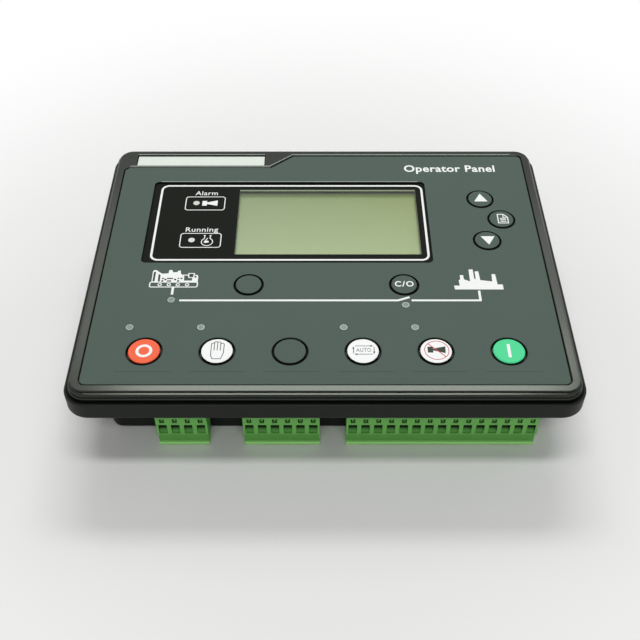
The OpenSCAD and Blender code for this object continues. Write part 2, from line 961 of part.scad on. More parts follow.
module socket(row) {
    w = row_w(row[0], row[1]);
    deep = tongue_l + slip;
    color([0.22, 0.5, 0.2])
        at_row(row)
            difference() {
                translate([0, -(deep + socket_back) / 2, 0])
                    block(w + 2 * socket_lap, deep + socket_back, z_socket, board_z);
                translate([0, (cut - deep) / 2, 0])
                    block(w + 2 * socket_lap - 2 * socket_wall, deep + cut,
                        z_socket + socket_wall, board_z - socket_wall);
                each_pole(row)
                    translate([0, cut - deep, pin_z])
                        rotate([90, 0, 0])
                            cylinder(d = pin_d + 2 * thread_fit, h = socket_back + 2 * cut);
            }
}

module socket_supply() {
    socket(supply);
}

module socket_output() {
    socket(outputs);
}

module socket_input() {
    socket(inputs);
}

module socket_sensor() {
    socket(sensor);
}

module socket_current() {
    socket(current);
}

module socket_voltage() {
    socket(voltage);
}

// Outer section of a plug: wire block, set-back chin and the lip at the screw side
module plug_section() {
    polygon([
        [plug_back, plug_z],
        [plug_reach - chin_back + lip_out, plug_z],
        [plug_reach - chin_back + lip_out, plug_z + lip_h],
        [plug_reach - chin_back, plug_z + lip_h + lip_slope],
        [plug_reach - chin_back, z_block - edge_r],
        [plug_reach, z_block],
        [plug_reach, z_plug - edge_r],
        [plug_reach - edge_r, z_plug],
        [plug_back, z_plug]
    ]);
}

// Wire entry: a deep bore at the top and a sloping funnel floor under it
module wire_section() {
    top = z_plug - wire_top;
    polygon([
        [plug_reach + cut, top],
        [wire_end, top],
        [wire_end, top - wire_bore],
        [plug_reach - funnel_in, top - wire_bore],
        [plug_reach - block_rim, top - wire_h],
        [plug_reach + cut, top - wire_h]
    ]);
}

module plug(row) {
    w = row_w(row[0], row[1]);
    nib_z = z_plug - nib_top - nib_h;
    color([0.25, 0.52, 0.22])
        at_row(row)
            difference() {
                union() {
                    across(w)
                        plug_section();
                    translate([0, (plug_back + bite - tongue_l) / 2, 0])
                        block(w + 2 * (socket_lap - socket_wall - slip), tongue_l + plug_back + bite,
                            pin_z - tongue_h / 2, pin_z + tongue_h / 2);
                }
                each_pole(row) {
                    across(wire_w)
                        wire_section();
                    difference() {
                        translate([0, plug_reach - (nib_deep - cut) / 2, 0])
                            block(nib_w, nib_deep + cut, nib_z, nib_z + nib_h);
                        translate([0, plug_reach - nib_deep + (nib_deep - pip_short) / 2, 0])
                            block(pip_w, nib_deep - pip_short,
                                nib_z + (nib_h - pip_h) / 2, nib_z + (nib_h + pip_h) / 2);
                    }
                    translate([0, screw_out, 0])
                        post(screw_d / 2 + screw_fit, plug_z - cut, plug_z + screw_sink + screw_len);
                    translate([0, -(tongue_l + cut + cell_end) / 2, 0])
                        block(cell_w, tongue_l + cut - cell_end, pin_z - cell_w / 2, pin_z + cell_w / 2);
                }
            }
}

module plug_supply() {
    plug(supply);
}

module plug_output() {
    plug(outputs);
}

module plug_input() {
    plug(inputs);
}

module plug_sensor() {
    plug(sensor);
}

module plug_current() {
    plug(current);
}

module plug_voltage() {
    plug(voltage);
}

module terminal_screws(row) {
    low = plug_z + screw_sink;
    color([0.78, 0.78, 0.76])
        at_row(row)
            each_pole(row)
                translate([0, screw_out, 0])
                    difference() {
                        post(screw_d / 2, low, low + screw_len);
                        block(screw_d + cut, screw_slot, low - cut, low + screw_slot);
                    }
}

module screws_supply() {
    terminal_screws(supply);
}

module screws_output() {
    terminal_screws(outputs);
}

module screws_input() {
    terminal_screws(inputs);
}

module screws_sensor() {
    terminal_screws(sensor);
}

module screws_current() {
    terminal_screws(current);
}

module screws_voltage() {
    terminal_screws(voltage);
}

// Spring contact in each cell of a plug's tongue
module contacts(row) {
    color([0.8, 0.72, 0.5])
        at_row(row)
            each_pole(row)
                difference() {
                    translate([0, -(tongue_l - bite + cell_end) / 2, 0])
                        block(contact_w, tongue_l - bite - cell_end,
                            pin_z - contact_w / 2, pin_z + contact_w / 2);
                    translate([0, -pin_end + pin_fit, pin_z])
                        rotate([90, 0, 0])
                            cylinder(d = pin_d + 2 * pin_fit, h = tongue_l);
                }
}

module contacts_supply() {
    contacts(supply);
}

module contacts_output() {
    contacts(outputs);
}

module contacts_input() {
    contacts(inputs);
}

module contacts_sensor() {
    contacts(sensor);
}

module contacts_current() {
    contacts(current);
}

module contacts_voltage() {
    contacts(voltage);
}

rear_case();
panel_gasket();
front_bezel();
face_panel();
name_plate();
display_mask();
display_window();
lcd_frame();
lcd_glass();
lcd_backlight();
indicator_lamps();
lamp_chips();
key_stop();
key_manual();
key_spare();
key_auto();
key_mute();
key_start();
key_open();
key_close();
key_up();
key_page();
key_down();
keypad_mat();
contact_pills();
key_board();
main_board();
board_link();
board_screws();
case_screws();
socket_pins();
socket_supply();
socket_output();
socket_input();
socket_sensor();
socket_current();
socket_voltage();
plug_supply();
plug_output();
plug_input();
plug_sensor();
plug_current();
plug_voltage();
screws_supply();
screws_output();
screws_input();
screws_sensor();
screws_current();
screws_voltage();
contacts_supply();
contacts_output();
contacts_input();
contacts_sensor();
contacts_current();
contacts_voltage();
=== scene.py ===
import math
import bpy
import bmesh
from mathutils import Matrix, Vector


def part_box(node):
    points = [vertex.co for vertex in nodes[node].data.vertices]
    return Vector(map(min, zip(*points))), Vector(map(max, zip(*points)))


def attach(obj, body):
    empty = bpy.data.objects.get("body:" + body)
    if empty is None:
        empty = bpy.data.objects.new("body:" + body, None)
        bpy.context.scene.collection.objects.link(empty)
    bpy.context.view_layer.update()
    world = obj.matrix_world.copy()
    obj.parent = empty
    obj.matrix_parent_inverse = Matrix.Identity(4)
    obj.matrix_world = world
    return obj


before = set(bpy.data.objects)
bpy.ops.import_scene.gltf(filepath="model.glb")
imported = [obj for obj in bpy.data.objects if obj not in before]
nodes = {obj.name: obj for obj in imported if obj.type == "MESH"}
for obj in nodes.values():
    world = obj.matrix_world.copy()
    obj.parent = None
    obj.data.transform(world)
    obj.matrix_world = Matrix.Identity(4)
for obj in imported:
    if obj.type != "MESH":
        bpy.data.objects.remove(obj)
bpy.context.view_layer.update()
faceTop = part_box("face_panel")[1].z
mm = 1000  # face millimetres in a metre
print("frame loaded,", len(nodes), "nodes")


# sRGB 0 to 255 to the linear colour that a socket wants
def tone(red, green, blue):
    linear = []
    for part in (red / 255, green / 255, blue / 255):
        linear.append(part / 12.92 if part <= 0.04045 else ((part + 0.055) / 1.055) ** 2.4)
    return (*linear, 1.0)


cameraSet = {
    "aside": -0.0019,
    "back": -0.2934,
    "aboveFace": 0.2764,
    "tilt": 42.94,
    "lens": 53.75,
    "sensor": 36.0,
}

camData = bpy.data.cameras.new("photoCamera")
camData.lens = cameraSet["lens"]
camData.sensor_width = cameraSet["sensor"]
camera = bpy.data.objects.new("photoCamera", camData)
camera.location = (cameraSet["aside"], cameraSet["back"], faceTop + cameraSet["aboveFace"])
camera.rotation_euler = (math.radians(cameraSet["tilt"]), 0, 0)
bpy.context.scene.collection.objects.link(camera)
bpy.context.scene.camera = camera
bpy.context.scene.view_settings.view_transform = "Standard"

# Softboxes behind, overhead and in front, whose mirror images fall on the lower bezel, on its ledge and on
# the edges that face the camera. A wide weak one behind and two low ones light the sides.
softboxes = {
    "backSoftbox": {"place": (0.036, 0.80, 1.13), "size": (0.83, 0.2), "power": 5.5},
    "overheadSoftbox": {"place": (0.0, -0.20, 1.40), "size": (0.75, 0.18), "power": 5.6},
    "frontSoftbox": {"place": (0.0, -0.88, 1.21), "size": (0.9, 0.2), "power": 4.0},
    "backGlow": {"place": (0.03, 1.04, 1.13), "size": (1.46, 0.34), "power": 2.92},
    "leftGlow": {"place": (-0.88, 0.80, 0.46), "size": (0.5, 0.3), "power": 0.4},
    "rightGlow": {"place": (0.88, 0.80, 0.46), "size": (0.5, 0.3), "power": 0.6},
}
skySet = {"level": 0.17, "white": 1.0}
floorSet = {"colour": (246, 246, 245), "half": 3.0, "drop": 0.0002, "rough": 0.9, "specular": 0.1,
            "fadeFrom": 0.12, "fadeTo": 0.30}


def addSoftbox(name, look):
    light = bpy.data.lights.new(name, "AREA")
    light.shape = "RECTANGLE"
    light.size, light.size_y = look["size"]
    light.energy = look["power"]
    lamp = bpy.data.objects.new(name, light)
    lamp.location = look["place"]
    aim = Vector((0, 0, faceTop)) - lamp.location
    lamp.rotation_euler = aim.to_track_quat("-Z", "Y").to_euler()
    bpy.context.scene.collection.objects.link(lamp)


# 1 for what the camera, gloss and glass see, 0 for the light that falls on things
def seenShare(tree):
    path = tree.nodes.new("ShaderNodeLightPath")
    seen = path.outputs["Is Camera Ray"]
    for ray in ("Is Glossy Ray", "Is Transmission Ray"):
        either = tree.nodes.new("ShaderNodeMath")
        either.operation = "MAXIMUM"
        tree.links.new(seen, either.inputs[0])
        tree.links.new(path.outputs[ray], either.inputs[1])
        seen = either.outputs["Value"]
    return seen


# A white room is seen, and a softer one gives the light
def addSky(look):
    world = bpy.data.worlds.new("studioSky")
    bpy.context.scene.world = world
    world.use_nodes = True
    tree = world.node_tree
    tree.nodes.clear()
    out = tree.nodes.new("ShaderNodeOutputWorld")
    mix = tree.nodes.new("ShaderNodeMixShader")
    tree.links.new(seenShare(tree), mix.inputs["Fac"])
    for slot, strength in ((1, look["level"]), (2, look["white"])):
        glow = tree.nodes.new("ShaderNodeBackground")
        glow.inputs["Color"].default_value = (1, 1, 1, 1)
        glow.inputs["Strength"].default_value = strength
        tree.links.new(glow.outputs["Background"], mix.inputs[slot])
    tree.links.new(mix.outputs["Shader"], out.inputs["Surface"])


# The floor keeps the shadow near the object, and goes over into the white room further out
def fadeOut(tree, shader, look):
    coords = tree.nodes.new("ShaderNodeTexCoord")
    away = tree.nodes.new("ShaderNodeVectorMath")
    away.operation = "LENGTH"
    tree.links.new(coords.outputs["Object"], away.inputs[0])
    fade = tree.nodes.new("ShaderNodeMapRange")
    fade.interpolation_type = "SMOOTHSTEP"
    fade.inputs["From Min"].default_value = look["fadeFrom"]
    fade.inputs["From Max"].default_value = look["fadeTo"]
    tree.links.new(away.outputs["Value"], fade.inputs["Value"])
    share = tree.nodes.new("ShaderNodeMath")
    share.operation = "MULTIPLY"
    tree.links.new(fade.outputs["Result"], share.inputs[0])
    tree.links.new(seenShare(tree), share.inputs[1])
    white = tree.nodes.new("ShaderNodeEmission")
    mix = tree.nodes.new("ShaderNodeMixShader")
    tree.links.new(share.outputs["Value"], mix.inputs["Fac"])
    tree.links.new(shader.outputs["BSDF"], mix.inputs[1])
    tree.links.new(white.outputs["Emission"], mix.inputs[2])
    tree.links.new(mix.outputs["Shader"], tree.nodes["Material Output"].inputs["Surface"])


def addFloor(look):
    bm = bmesh.new()
    low = Matrix.Translation((0, 0, -look["drop"]))
    bmesh.ops.create_grid(bm, x_segments=1, y_segments=1, size=look["half"], matrix=low)
    mesh = bpy.data.meshes.new("studioFloor")
    bm.to_mesh(mesh)
    bm.free()
    paint = bpy.data.materials.new("floorPaint")
    paint.use_nodes = True
    shader = paint.node_tree.nodes["Principled BSDF"]
    shader.inputs["Base Color"].default_value = tone(*look["colour"])
    shader.inputs["Roughness"].default_value = look["rough"]
    shader.inputs["Specular IOR Level"].default_value = look["specular"]
    fadeOut(paint.node_tree, shader, look)
    mesh.materials.append(paint)
    floor = bpy.data.objects.new("studioFloor", mesh)
    bpy.context.scene.collection.objects.link(floor)


for name, look in softboxes.items():
    addSoftbox(name, look)
addSky(skySet)
addFloor(floorSet)
print("camera and studio ready")


def addNode(tree, kind, **sockets):
    node = tree.nodes.new(kind)
    for name, value in sockets.items():
        node.inputs[name.replace("_", " ")].default_value = value
    return node


def addMix(tree, factor, first, second, blend="MIX"):
    mix = tree.nodes.new("ShaderNodeMix")
    mix.data_type = "RGBA"
    mix.blend_type = blend
    for name, value in (("Factor", factor), ("A", first), ("B", second)):
        if isinstance(value, bpy.types.NodeSocket):
            tree.links.new(value, mix.inputs[name])
        else:
            mix.inputs[name].default_value = value
    return mix.outputs["Result"]


# 0 below the height, 1 above it, on object coordinates
def aboveHeight(tree, coords, height, blur=0.00002):
    split = tree.nodes.new("ShaderNodeSeparateXYZ")
    tree.links.new(coords.outputs["Object"], split.inputs["Vector"])
    step = addNode(tree, "ShaderNodeMapRange", From_Min=height - blur, From_Max=height + blur)
    tree.links.new(split.outputs["Z"], step.inputs["Value"])
    return step.outputs["Result"]


# 1 inside a box of the part, falling to 0 at its faces over a soft border
def insideBox(tree, coords, low, high, soft):
    value = coords.outputs["Object"]
    middle, half = (low + high) / 2, (high - low) / 2
    steps = (("SUBTRACT", middle), ("ABSOLUTE", None), ("SUBTRACT", half), ("DIVIDE", -Vector(soft)),
             ("MAXIMUM", Vector((0, 0, 0))), ("MINIMUM", Vector((1, 1, 1))))
    for operation, operand in steps:
        step = tree.nodes.new("ShaderNodeVectorMath")
        step.operation = operation
        tree.links.new(value, step.inputs[0])
        if operand is not None:
            step.inputs[1].default_value = operand
        value = step.outputs["Vector"]
    split = tree.nodes.new("ShaderNodeSeparateXYZ")
    tree.links.new(value, split.inputs["Vector"])
    share = split.outputs["X"]
    for axis in ("Y", "Z"):
        both = tree.nodes.new("ShaderNodeMath")
        both.operation = "MULTIPLY"
        tree.links.new(share, both.inputs[0])
        tree.links.new(split.outputs[axis], both.inputs[1])
        share = both.outputs["Value"]
    return share


grainRelief = 0.00003


# Moulded or printed surface: cloudy colour, uneven gloss and a fine grain. A look with painted light below a
# height has its own colour only above that height. Below it, the face and keys get the colour of painted
# shade, and the display mask and plug lips get the colour of a painted highlight. A look with painted light
# above a height turns to a paler painted highlight colour there. A look with hollow shades is darkened
# inside boxes as painted shade.
def mouldedFinish(name, look):
    finish = bpy.data.materials.new(name)
    finish.use_nodes = True
    tree = finish.node_tree
    shader = tree.nodes["Principled BSDF"]
    coords = tree.nodes.new("ShaderNodeTexCoord")
    spread = look.get("spread", 0.05)
    clouds = addNode(tree, "ShaderNodeTexNoise", Scale=look.get("clouds", 45.0), Detail=3.0, Roughness=0.55)
    tree.links.new(coords.outputs["Object"], clouds.inputs["Vector"])
    darker = tone(*[part * (1 - spread) for part in look["colour"]])
    lighter = tone(*[min(255, part * (1 + spread)) for part in look["colour"]])
    colour = addMix(tree, clouds.outputs["Fac"], darker, lighter)
    # Painted highlight: the colour turns paler above a height
    if "paintedLightAbove" in look:
        litAbove = aboveHeight(tree, coords, look["paintedLightFoot"], look["paintedLightBlur"])
        colour = addMix(tree, litAbove, colour, tone(*look["paintedLightAbove"]))
    # Painted light below a height: painted shade on the sides of the face and keys, a painted highlight on
    # the mask sides and the plug lips
    if "paintedLightBelow" in look:
        colour = addMix(tree, aboveHeight(tree, coords, look["paintedLightTop"]), tone(*look["paintedLightBelow"]), colour)
    insides = []
    # Painted shade inside boxes, in the recesses of the plugs
    for low, high, soft, dark in look.get("hollowShades", []):
        insides.append(insideBox(tree, coords, low, high, soft))
        colour = addMix(tree, insides[-1], colour, tone(*dark))
    tree.links.new(colour, shader.inputs["Base Color"])
    grain = addNode(tree, "ShaderNodeTexNoise", Scale=look.get("grain", 2400.0), Detail=2.0, Roughness=0.5)
    tree.links.new(coords.outputs["Object"], grain.inputs["Vector"])
    uneven = look.get("uneven", 0.05)
    gloss = addNode(tree, "ShaderNodeMapRange", To_Min=look["rough"] - uneven,
                    To_Max=look["rough"] + uneven)
    tree.links.new(grain.outputs["Fac"], gloss.inputs["Value"])
    rough = gloss.outputs["Result"]
    for inside in insides:  # hollows are dull
        duller = tree.nodes.new("ShaderNodeMath")
        duller.operation = "MAXIMUM"
        tree.links.new(rough, duller.inputs[0])
        tree.links.new(inside, duller.inputs[1])
        rough = duller.outputs["Value"]
    tree.links.new(rough, shader.inputs["Roughness"])
    bump = addNode(tree, "ShaderNodeBump", Strength=look.get("bump", 0.15), Distance=grainRelief)
    tree.links.new(grain.outputs["Fac"], bump.inputs["Height"])
    tree.links.new(bump.outputs["Normal"], shader.inputs["Normal"])
    shader.inputs["Specular IOR Level"].default_value = look.get("specular", 0.5)
    shader.inputs["Specular Tint"].default_value = look.get("tint", (1, 1, 1, 1))
    shader.inputs["Metallic"].default_value = look.get("metal", 0.0)
    return finish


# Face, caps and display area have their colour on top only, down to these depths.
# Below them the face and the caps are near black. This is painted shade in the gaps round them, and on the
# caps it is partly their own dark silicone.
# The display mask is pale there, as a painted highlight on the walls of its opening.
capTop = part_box("key_stop")[1].z
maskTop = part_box("display_mask")[1].z
depthSet = {"face": 0.0001, "mask": 0.00005, "cap": 0.00036, "whiteCap": 0.00009, "darkCap": 0.00004,
            "spareCap": 0.0002}
# The face and the keys take a near-black colour below their tops: painted shade in the gaps round the keys
# and the face, on the keys partly their own dark silicone
facePaint = {"colour": (82, 97, 90), "rough": 0.6, "bump": 0.12, "spread": 0.02, "specular": 0.1,
             "paintedLightBelow": (14, 16, 14)}
capGloss = {"rough": 0.4, "bump": 0.05, "spread": 0.02, "specular": 0.2, "paintedLightBelow": (14, 16, 14)}
finishes = {
    "caseBlack": {"colour": (26, 29, 25), "rough": 0.5, "bump": 0.3, "specular": 0.16},
    "bezelSatin": {"colour": (20, 22, 19), "rough": 0.17, "bump": 0.04, "uneven": 0.03, "specular": 0.33,
                   "tint": tone(244, 255, 238)},
    "gasketRubber": {"colour": (22, 22, 22), "rough": 0.8, "bump": 0.4, "grain": 1500.0, "specular": 0.2},
    "facePrint": {**facePaint, "paintedLightTop": faceTop - depthSet["face"]},
    "paleEnamel": {"colour": (228, 236, 226), "rough": 0.4, "bump": 0.04, "spread": 0.015, "specular": 0.3},
    # Display mask: black on top, pale below it as a painted highlight on the walls of the display opening
    "displayBlack": {"colour": (23, 26, 21), "rough": 0.5, "bump": 0.03, "spread": 0.04, "specular": 0.03,
                     "paintedLightBelow": (222, 228, 214), "paintedLightTop": maskTop - depthSet["mask"]},
    "surroundGrey": {"colour": (112, 117, 106), "rough": 0.5, "specular": 0.2},
    "diffuserWhite": {"colour": (230, 230, 224), "rough": 0.6},
    "lampCloud": {"colour": (110, 125, 117), "rough": 0.3, "bump": 0.25, "grain": 1400.0, "spread": 0.12,
                  "clouds": 900.0, "specular": 0.3},
    "chipYellow": {"colour": (236, 226, 190), "rough": 0.4},
    # Keys: colour on the top, near black below it as painted shade in the gap round each key, partly the
    # key's own dark silicone
    "capRed": {**capGloss, "colour": (249, 100, 58), "paintedLightTop": capTop - depthSet["cap"]},
    "capWhite": {**capGloss, "colour": (250, 253, 251), "spread": 0.01,
                 "paintedLightTop": capTop - depthSet["whiteCap"]},
    "capGreen": {**capGloss, "colour": (70, 220, 150), "paintedLightTop": capTop - depthSet["cap"]},
    "capDark": {**facePaint, "paintedLightTop": capTop - depthSet["darkCap"]},
    "capSpare": {**facePaint, "paintedLightTop": capTop - depthSet["spareCap"]},
    "matSilicone": {"colour": (196, 196, 190), "rough": 0.6},
    "carbonPill": {"colour": (30, 30, 30), "rough": 0.7},
    "boardLacquer": {"colour": (28, 96, 56), "rough": 0.35, "clouds": 120.0, "spread": 0.1},
    "linkBlack": {"colour": (32, 32, 32), "rough": 0.5},
    "zincScrew": {"colour": (192, 192, 188), "rough": 0.32, "metal": 1.0, "bump": 0.2, "spread": 0.08,
                  "clouds": 700.0},
    "tinPin": {"colour": (206, 202, 190), "rough": 0.28, "metal": 1.0},
    "terminalGreen": {"colour": (100, 176, 76), "rough": 0.38, "bump": 0.12, "spread": 0.04, "clouds": 120.0,
                      "specular": 0.5},
    "contactBrass": {"colour": (206, 182, 120), "rough": 0.3, "metal": 1.0},
    "inkWhite": {"colour": (250, 253, 250), "rough": 0.5, "bump": 0.08, "spread": 0.01, "specular": 0.2},
    "inkDark": {"colour": (44, 52, 44), "rough": 0.5, "bump": 0.08, "specular": 0.2},
    "inkGrey": {"colour": (92, 98, 93), "rough": 0.5, "bump": 0.08, "specular": 0.2},
    "inkRed": {"colour": (206, 66, 84), "rough": 0.5, "bump": 0.08, "specular": 0.2},
    # Near black for the painted shade round the key holes
    "paintedShadeBlack": {"colour": (14, 17, 14), "rough": 0.6, "bump": 0.08, "specular": 0.1},
    "inkFaint": {"colour": (68, 81, 74), "rough": 0.5, "bump": 0.08, "specular": 0.1},
    # Pale colour of the lamp lens rims, and of the painted highlight lines on the display opening and the
    # bezel
    "lensRimAndHighlight": {"colour": (138, 151, 143), "rough": 0.35, "bump": 0.2, "spread": 0.1, "clouds": 900.0},
    "lensAlarm": {"colour": (206, 212, 199), "rough": 0.35, "bump": 0.2, "spread": 0.08, "clouds": 900.0},
    "lensRunning": {"colour": (214, 217, 213), "rough": 0.35, "bump": 0.2, "spread": 0.05, "clouds": 900.0},
}

# Each plug has its wire block above the band and its lip painted paler, as a painted highlight where they
# face the light. Behind its outer face it has painted shade on the floor of its wire entries, and darker
# painted shade in its latch pockets and deep in the entries.
plugHighlightSet = {"paintedLightBelow": (176, 250, 142), "paintedLightTop": 0.0018, "paintedLightAbove": (114, 198, 88), "paintedLightFoot": 0.0080,
          "paintedLightBlur": 0.0003}
hollowShadeSet = {
    "end": 0.0004,
    "floor": {"foot": 0.0084, "top": 0.0150, "soft": (0.0001, 0.0002, 0.0001), "dark": (104, 178, 86)},
    "pockets": {"foot": 0.0150, "top": 0.0185, "soft": (0.0001, 0.0009, 0.0002), "dark": (26, 52, 20)},
    "entries": {"foot": 0.0094, "top": 0.0150, "soft": (0.0001, 0.0008, 0.0009), "dark": (10, 28, 10)},
}
terminalRows = ("supply", "output", "input", "sensor", "current", "voltage")
for row in terminalRows:
    low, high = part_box("plug_" + row)
    end = hollowShadeSet["end"]
    hollowShades = []
    for zone in ("floor", "pockets", "entries"):
        shade = hollowShadeSet[zone]
        hollowLow = Vector((low.x + end, low.y, shade["foot"]))
        hollowHigh = Vector((high.x - end, high.y, shade["top"]))
        hollowShades.append((hollowLow, hollowHigh, shade["soft"], shade["dark"]))
    finishes["terminalGreenPaintedLight_" + row] = {**finishes["terminalGreen"], **plugHighlightSet, "hollowShades": hollowShades}
made = {name: mouldedFinish(name, look) for name, look in finishes.items()}

# Grey-green display glass: greyer at the left, paler towards the lower edge, with the faint net of its dots
lcdSet = {"left": (138, 156, 108), "right": (134, 152, 82), "pale": (190, 207, 157), "paleShare": 0.54,
          "dotPitch": 0.00056, "dotGap": 0.00004, "net": 0.95, "rough": 0.3, "specular": 0.2}


def lcdFinish(look):
    finish = bpy.data.materials.new("lcdGreen")
    finish.use_nodes = True
    tree = finish.node_tree
    shader = tree.nodes["Principled BSDF"]
    coords = tree.nodes.new("ShaderNodeTexCoord")
    split = tree.nodes.new("ShaderNodeSeparateXYZ")
    tree.links.new(coords.outputs["Object"], split.inputs["Vector"])
    low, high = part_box("lcd_glass")
    along = addNode(tree, "ShaderNodeMapRange", From_Min=low.x, From_Max=high.x)
    tree.links.new(split.outputs["X"], along.inputs["Value"])
    down = addNode(tree, "ShaderNodeMapRange", From_Min=high.y, From_Max=low.y, To_Max=look["paleShare"])
    tree.links.new(split.outputs["Y"], down.inputs["Value"])
    colour = addMix(tree, along.outputs["Result"], tone(*look["left"]), tone(*look["right"]))
    colour = addMix(tree, down.outputs["Result"], colour, tone(*look["pale"]))
    dots = addNode(tree, "ShaderNodeTexBrick", Scale=1.0, Mortar_Size=look["dotGap"],
                   Brick_Width=look["dotPitch"], Row_Height=look["dotPitch"])
    dots.offset = 0.0
    for socket in ("Color1", "Color2"):
        dots.inputs[socket].default_value = (1, 1, 1, 1)
    dots.inputs["Mortar"].default_value = (look["net"], look["net"], look["net"], 1)
    tree.links.new(coords.outputs["Object"], dots.inputs["Vector"])
    colour = addMix(tree, 1.0, colour, dots.outputs["Color"], "MULTIPLY")
    tree.links.new(colour, shader.inputs["Base Color"])
    shader.inputs["Roughness"].default_value = look["rough"]
    shader.inputs["Specular IOR Level"].default_value = look["specular"]
    return finish


# Clear pane over the display, faint enough to leave the glass behind it in view
paneSet = {"colour": (230, 240, 236), "alpha": 0.04, "smooth": 0.04, "hazy": 0.1, "haze": 60.0,
           "specular": 0.15}


def paneFinish(look):
    finish = bpy.data.materials.new("clearPane")
    finish.use_nodes = True
    tree = finish.node_tree
    shader = tree.nodes["Principled BSDF"]
    coords = tree.nodes.new("ShaderNodeTexCoord")
    haze = addNode(tree, "ShaderNodeTexNoise", Scale=look["haze"], Detail=2.0)
    tree.links.new(coords.outputs["Object"], haze.inputs["Vector"])
    gloss = addNode(tree, "ShaderNodeMapRange", To_Min=look["smooth"], To_Max=look["hazy"])
    tree.links.new(haze.outputs["Fac"], gloss.inputs["Value"])
    tree.links.new(gloss.outputs["Result"], shader.inputs["Roughness"])
    shader.inputs["Base Color"].default_value = tone(*look["colour"])
    shader.inputs["Alpha"].default_value = look["alpha"]
    shader.inputs["Specular IOR Level"].default_value = look["specular"]
    return finish


made["lcdGreen"] = lcdFinish(lcdSet)
made["clearPane"] = paneFinish(paneSet)

nodeFinish = {
    "rear_case": "caseBlack", "panel_gasket": "gasketRubber", "front_bezel": "bezelSatin",
    "face_panel": "facePrint", "name_plate": "paleEnamel", "display_mask": "displayBlack",
    "display_window": "clearPane", "lcd_frame": "surroundGrey", "lcd_glass": "lcdGreen",
    "lcd_backlight": "diffuserWhite", "indicator_lamps": "lampCloud", "lamp_chips": "chipYellow",
    "keypad_mat": "matSilicone", "contact_pills": "carbonPill", "key_board": "boardLacquer",
    "main_board": "boardLacquer", "board_link": "linkBlack", "board_screws": "zincScrew",
    "case_screws": "zincScrew", "socket_pins": "tinPin", "key_stop": "capRed", "key_manual": "capWhite",
    "key_auto": "capWhite", "key_mute": "capWhite", "key_start": "capGreen", "key_spare": "capSpare",
}
for key in ("open", "close", "up", "page", "down"):
    nodeFinish["key_" + key] = "capDark"
for row in terminalRows:
    nodeFinish["socket_" + row] = "terminalGreen"
    nodeFinish["plug_" + row] = "terminalGreenPaintedLight_" + row
    nodeFinish["screws_" + row] = "zincScrew"
    nodeFinish["contacts_" + row] = "contactBrass"
for nodeName, cadPiece in nodes.items():
    cadPiece.data.materials.clear()
    cadPiece.data.materials.append(made[nodeFinish[nodeName]])
print("finishes on", len(nodeFinish), "nodes")


# Legends are drawn flat in face millimetres, then given the thickness of an ink film
inkFilm = 0.00003
inkSink = 0.00001


def bar(bm, start, end, width):
    a, b = Vector((*start, 0)), Vector((*end, 0))
    turn = Matrix.Rotation(math.atan2(b.y - a.y, b.x - a.x), 4, "Z")
    place = Matrix.Translation((a + b) / 2) @ turn @ Matrix.Diagonal(((b - a).length, width, 1, 1))
    bmesh.ops.create_grid(bm, x_segments=1, y_segments=1, size=0.5, matrix=place)


def disc(bm, centre, radius, steps=40):
    place = Matrix.Translation((*centre, 0))
    bmesh.ops.create_circle(bm, cap_ends=True, segments=steps, radius=radius, matrix=place)


def arc(bm, centre, radius, width, first=0.0, sweep=360.0, steps=48):
    turn = Matrix.Rotation(math.radians(first), 3, "Z")
    hub = Vector((*centre, 0))
    near = bm.verts.new(hub + turn @ Vector((radius - width / 2, 0, 0)))
    far = bm.verts.new(hub + turn @ Vector((radius + width / 2, 0, 0)))
    edge = bm.edges.new((near, far))
    bmesh.ops.spin(bm, geom=[near, far, edge], cent=hub, axis=(0, 0, 1), angle=math.radians(sweep),
                   steps=steps, use_merge=sweep == 360.0)


def fill(bm, *points):
    bm.faces.new([bm.verts.new((x, y, 0)) for x, y in points])


def roundBox(bm, left, low, right, high, radius, width):
    inLeft, inRight, inLow, inHigh = left + radius, right - radius, low + radius, high - radius
    bar(bm, (inLeft, low), (inRight, low), width)
    bar(bm, (inLeft, high), (inRight, high), width)
    bar(bm, (left, inLow), (left, inHigh), width)
    bar(bm, (right, inLow), (right, inHigh), width)
    corners = ((inRight, inHigh), (inLeft, inHigh), (inLeft, inLow), (inRight, inLow))
    for turns, corner in enumerate(corners):
        arc(bm, corner, radius, width, turns * 90.0, 90.0, 8)


letterSpace = 1.06


# Blender's own font, made a mesh and fitted to a box of left, foot, right and cap height
def words(bm, text, left, foot, right, top, weight, space=letterSpace):
    curve = bpy.data.curves.new("legend", "FONT")
    curve.body = text
    curve.resolution_u = 4
    curve.offset = weight
    curve.space_character = space
    holder = bpy.data.objects.new("legend", curve)
    bpy.context.scene.collection.objects.link(holder)
    bpy.context.view_layer.update()
    flat = bpy.data.meshes.new_from_object(holder.evaluated_get(bpy.context.evaluated_depsgraph_get()))
    xs = [vert.co.x for vert in flat.vertices]
    capHeight = max(vert.co.y for vert in flat.vertices)
    scale = Matrix.Diagonal(((right - left) / (max(xs) - min(xs)), (top - foot) / capHeight, 1, 1))
    flat.transform(Matrix.Translation((left, foot, 0)) @ scale @ Matrix.Translation((-min(xs), 0, 0)))
    bm.from_mesh(flat)
    bpy.data.objects.remove(holder)
    bpy.data.curves.remove(curve)
    bpy.data.meshes.remove(flat)


drawing = {"bars": bar, "dots": disc, "arcs": arc, "boxes": roundBox, "words": words, "fills": fill}
layerSet = {"step": 0.0006, "count": 12}


# Each shape of a legend with its drawer. A stroke is bars with round ends and corners.
def shapesOf(art):
    for points, width in art.get("strokes", []):
        for start, end in zip(points, points[1:]):
            yield bar, (start, end, width)
        for point in points:
            yield disc, (point, width / 2, 10)
    for kind, draw in drawing.items():
        for values in art.get(kind, []):
            yield draw, values


